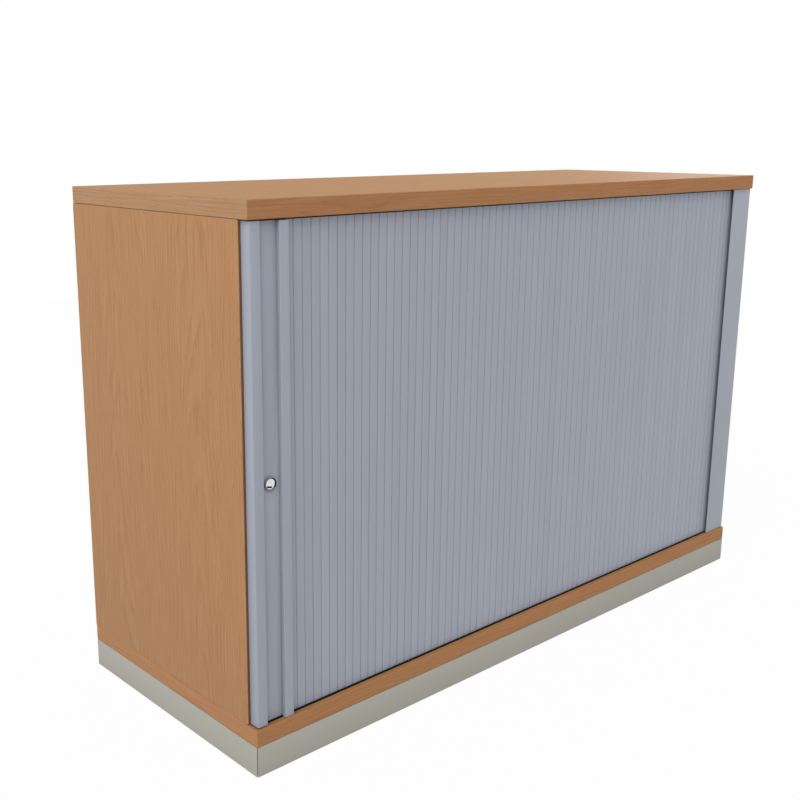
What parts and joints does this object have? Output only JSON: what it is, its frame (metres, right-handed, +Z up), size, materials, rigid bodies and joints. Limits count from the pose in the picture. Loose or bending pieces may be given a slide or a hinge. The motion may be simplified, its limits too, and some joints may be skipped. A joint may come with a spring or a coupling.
{
  "type": "tambour door cabinet",
  "caption": "Low office cabinet with wood-grain boards on a plinth, a side-opening curtain door of upright grey slats, a lockable grip bar and a shelf inside.",
  "frame": {"origin": "centre of the cabinet's footprint, on the floor under the plinth", "axes": "+X along the width, from the lock end to the end where the curtain turns; +Y from the front to the back; +Z up"},
  "size_m": [1.2, 0.44, 0.782],
  "materials": {
    "wood_board": "wood-grain melamine on chipboard, satin, edged to match",
    "white_board": "white melamine on chipboard, satin",
    "plinth_board": "grey-green laminate, matt",
    "grey_plastic": "silver-grey extruded plastic, satin",
    "black_plastic": "black moulded plastic",
    "chrome": "bright chrome plate",
    "zinc_steel": "zinc-plated steel"
  },
  "bodies": {
    "carcass": {"top_panel": "wood_board", "bottom_panel": "wood_board", "left_side_panel": "wood_board", "right_side_panel": "wood_board", "back_panel": "wood_board", "false_back_panel": "white_board", "inner_side_panel": "wood_board", "shelf": "wood_board", "shelf_pin_1": "zinc_steel", "shelf_pin_2": "zinc_steel", "shelf_pin_3": "zinc_steel", "shelf_pin_4": "zinc_steel", "top_guide_rail": "black_plastic", "bottom_guide_rail": "black_plastic", "left_post": "grey_plastic", "right_post": "grey_plastic", "plinth_front": "plinth_board", "plinth_back": "plinth_board", "plinth_left": "plinth_board", "plinth_right": "plinth_board", "lock_keeper": "zinc_steel"},
    "door_lead": {"lead_bar": "grey_plastic", "grip_ridge": "grey_plastic", "lock_housing": "chrome", "lock_nut": "zinc_steel"},
    "lock_turn_body": {"lock_core": "chrome", "lock_cam": "zinc_steel", "cam_screw": "zinc_steel"},
    "curtain_body_01": {"curtain_section_01": "grey_plastic"},
    "curtain_body_02": {"curtain_section_02": "grey_plastic"},
    "curtain_body_03": {"curtain_section_03": "grey_plastic"},
    "curtain_body_04": {"curtain_section_04": "grey_plastic"},
    "curtain_body_05": {"curtain_section_05": "grey_plastic"},
    "curtain_body_06": {"curtain_section_06": "grey_plastic"},
    "curtain_body_07": {"curtain_section_07": "grey_plastic"},
    "curtain_body_08": {"curtain_section_08": "grey_plastic"},
    "curtain_body_09": {"curtain_section_09": "grey_plastic"},
    "curtain_body_10": {"curtain_section_10": "grey_plastic"},
    "curtain_body_11": {"curtain_section_11": "grey_plastic"},
    "curtain_body_12": {"curtain_section_12": "grey_plastic"},
    "curtain_body_13": {"curtain_section_13": "grey_plastic"},
    "curtain_body_14": {"curtain_section_14": "grey_plastic"},
    "curtain_body_15": {"curtain_section_15": "grey_plastic"},
    "curtain_body_16": {"curtain_section_16": "grey_plastic"},
    "curtain_body_17": {"curtain_section_17": "grey_plastic"},
    "curtain_body_18": {"curtain_section_18": "grey_plastic"},
    "curtain_body_19": {"curtain_section_19": "grey_plastic"},
    "curtain_body_20": {"curtain_section_20": "grey_plastic"},
    "curtain_body_21": {"curtain_section_21": "grey_plastic"},
    "curtain_body_22": {"curtain_section_22": "grey_plastic"},
    "curtain_body_23": {"curtain_section_23": "grey_plastic"},
    "curtain_body_24": {"curtain_section_24": "grey_plastic"},
    "foot_body_1": {"levelling_foot_1": "black_plastic"},
    "foot_body_2": {"levelling_foot_2": "black_plastic"},
    "foot_body_3": {"levelling_foot_3": "black_plastic"},
    "foot_body_4": {"levelling_foot_4": "black_plastic"}
  },
  "joints": [
    {"name": "door_slide", "type": "slide", "parent": "carcass", "child": "door_lead", "axis": [1, 0, 0], "range_m": [0, 1.071]},
    {"name": "lock_turn", "type": "hinge", "parent": "door_lead", "child": "lock_turn_body", "pos_m": [-0.5645, -0.2, 0.413], "axis": [0, -1, 0], "range_deg": [0, 90]},
    {"name": "curtain_slide_01", "type": "slide", "parent": "carcass", "child": "curtain_body_01", "axis": [1, 0, 0], "range_m": [0, 1.059], "deforming": ["curtain_section_01"]},
    {"name": "curtain_slide_02", "type": "slide", "parent": "carcass", "child": "curtain_body_02", "axis": [1, 0, 0], "range_m": [0, 1.015], "deforming": ["curtain_section_02"]},
    {"name": "curtain_slide_03", "type": "slide", "parent": "carcass", "child": "curtain_body_03", "axis": [1, 0, 0], "range_m": [0, 0.971], "deforming": ["curtain_section_03"]},
    {"name": "curtain_slide_04", "type": "slide", "parent": "carcass", "child": "curtain_body_04", "axis": [1, 0, 0], "range_m": [0, 0.927], "deforming": ["curtain_section_04"]},
    {"name": "curtain_slide_05", "type": "slide", "parent": "carcass", "child": "curtain_body_05", "axis": [1, 0, 0], "range_m": [0, 0.883], "deforming": ["curtain_section_05"]},
    {"name": "curtain_slide_06", "type": "slide", "parent": "carcass", "child": "curtain_body_06", "axis": [1, 0, 0], "range_m": [0, 0.839], "deforming": ["curtain_section_06"]},
    {"name": "curtain_slide_07", "type": "slide", "parent": "carcass", "child": "curtain_body_07", "axis": [1, 0, 0], "range_m": [0, 0.795], "deforming": ["curtain_section_07"]},
    {"name": "curtain_slide_08", "type": "slide", "parent": "carcass", "child": "curtain_body_08", "axis": [1, 0, 0], "range_m": [0, 0.751], "deforming": ["curtain_section_08"]},
    {"name": "curtain_slide_09", "type": "slide", "parent": "carcass", "child": "curtain_body_09", "axis": [1, 0, 0], "range_m": [0, 0.707], "deforming": ["curtain_section_09"]},
    {"name": "curtain_slide_10", "type": "slide", "parent": "carcass", "child": "curtain_body_10", "axis": [1, 0, 0], "range_m": [0, 0.663], "deforming": ["curtain_section_10"]},
    {"name": "curtain_slide_11", "type": "slide", "parent": "carcass", "child": "curtain_body_11", "axis": [1, 0, 0], "range_m": [0, 0.619], "deforming": ["curtain_section_11"]},
    {"name": "curtain_slide_12", "type": "slide", "parent": "carcass", "child": "curtain_body_12", "axis": [1, 0, 0], "range_m": [0, 0.575], "deforming": ["curtain_section_12"]},
    {"name": "curtain_slide_13", "type": "slide", "parent": "carcass", "child": "curtain_body_13", "axis": [1, 0, 0], "range_m": [0, 0.531], "deforming": ["curtain_section_13"]},
    {"name": "curtain_slide_14", "type": "slide", "parent": "carcass", "child": "curtain_body_14", "axis": [1, 0, 0], "range_m": [0, 0.487], "deforming": ["curtain_section_14"]},
    {"name": "curtain_slide_15", "type": "slide", "parent": "carcass", "child": "curtain_body_15", "axis": [1, 0, 0], "range_m": [0, 0.443], "deforming": ["curtain_section_15"]},
    {"name": "curtain_slide_16", "type": "slide", "parent": "carcass", "child": "curtain_body_16", "axis": [1, 0, 0], "range_m": [0, 0.399], "deforming": ["curtain_section_16"]},
    {"name": "curtain_slide_17", "type": "slide", "parent": "carcass", "child": "curtain_body_17", "axis": [1, 0, 0], "range_m": [0, 0.355], "deforming": ["curtain_section_17"]},
    {"name": "curtain_slide_18", "type": "slide", "parent": "carcass", "child": "curtain_body_18", "axis": [1, 0, 0], "range_m": [0, 0.311], "deforming": ["curtain_section_18"]},
    {"name": "curtain_slide_19", "type": "slide", "parent": "carcass", "child": "curtain_body_19", "axis": [1, 0, 0], "range_m": [0, 0.267], "deforming": ["curtain_section_19"]},
    {"name": "curtain_slide_20", "type": "slide", "parent": "carcass", "child": "curtain_body_20", "axis": [1, 0, 0], "range_m": [0, 0.223], "deforming": ["curtain_section_20"]},
    {"name": "curtain_slide_21", "type": "slide", "parent": "carcass", "child": "curtain_body_21", "axis": [1, 0, 0], "range_m": [0, 0.179], "deforming": ["curtain_section_21"]},
    {"name": "curtain_slide_22", "type": "slide", "parent": "carcass", "child": "curtain_body_22", "axis": [1, 0, 0], "range_m": [0, 0.135], "deforming": ["curtain_section_22"]},
    {"name": "curtain_slide_23", "type": "slide", "parent": "carcass", "child": "curtain_body_23", "axis": [1, 0, 0], "range_m": [0, 0.091], "deforming": ["curtain_section_23"]},
    {"name": "curtain_slide_24", "type": "slide", "parent": "carcass", "child": "curtain_body_24", "axis": [1, 0, 0], "range_m": [0, 0.047], "deforming": ["curtain_section_24"]},
    {"name": "foot_screw_1", "type": "slide", "parent": "carcass", "child": "foot_body_1", "axis": [0, 0, 1], "range_m": [0, 0.01]},
    {"name": "foot_screw_2", "type": "slide", "parent": "carcass", "child": "foot_body_2", "axis": [0, 0, 1], "range_m": [0, 0.01]},
    {"name": "foot_screw_3", "type": "slide", "parent": "carcass", "child": "foot_body_3", "axis": [0, 0, 1], "range_m": [0, 0.01]},
    {"name": "foot_screw_4", "type": "slide", "parent": "carcass", "child": "foot_body_4", "axis": [0, 0, 1], "range_m": [0, 0.01]}
  ],
  "couplings": [
    {"joint": "curtain_slide_01", "follows": "door_slide", "ratio": 0.98879},
    {"joint": "curtain_slide_02", "follows": "door_slide", "ratio": 0.94771},
    {"joint": "curtain_slide_03", "follows": "door_slide", "ratio": 0.90663},
    {"joint": "curtain_slide_04", "follows": "door_slide", "ratio": 0.86555},
    {"joint": "curtain_slide_05", "follows": "door_slide", "ratio": 0.82446},
    {"joint": "curtain_slide_06", "follows": "door_slide", "ratio": 0.78338},
    {"joint": "curtain_slide_07", "follows": "door_slide", "ratio": 0.7423},
    {"joint": "curtain_slide_08", "follows": "door_slide", "ratio": 0.70121},
    {"joint": "curtain_slide_09", "follows": "door_slide", "ratio": 0.66013},
    {"joint": "curtain_slide_10", "follows": "door_slide", "ratio": 0.61905},
    {"joint": "curtain_slide_11", "follows": "door_slide", "ratio": 0.57796},
    {"joint": "curtain_slide_12", "follows": "door_slide", "ratio": 0.53688},
    {"joint": "curtain_slide_13", "follows": "door_slide", "ratio": 0.4958},
    {"joint": "curtain_slide_14", "follows": "door_slide", "ratio": 0.45471},
    {"joint": "curtain_slide_15", "follows": "door_slide", "ratio": 0.41363},
    {"joint": "curtain_slide_16", "follows": "door_slide", "ratio": 0.37255},
    {"joint": "curtain_slide_17", "follows": "door_slide", "ratio": 0.33147},
    {"joint": "curtain_slide_18", "follows": "door_slide", "ratio": 0.29038},
    {"joint": "curtain_slide_19", "follows": "door_slide", "ratio": 0.2493},
    {"joint": "curtain_slide_20", "follows": "door_slide", "ratio": 0.20822},
    {"joint": "curtain_slide_21", "follows": "door_slide", "ratio": 0.16713},
    {"joint": "curtain_slide_22", "follows": "door_slide", "ratio": 0.12605},
    {"joint": "curtain_slide_23", "follows": "door_slide", "ratio": 0.084967},
    {"joint": "curtain_slide_24", "follows": "door_slide", "ratio": 0.043884}
  ]
}
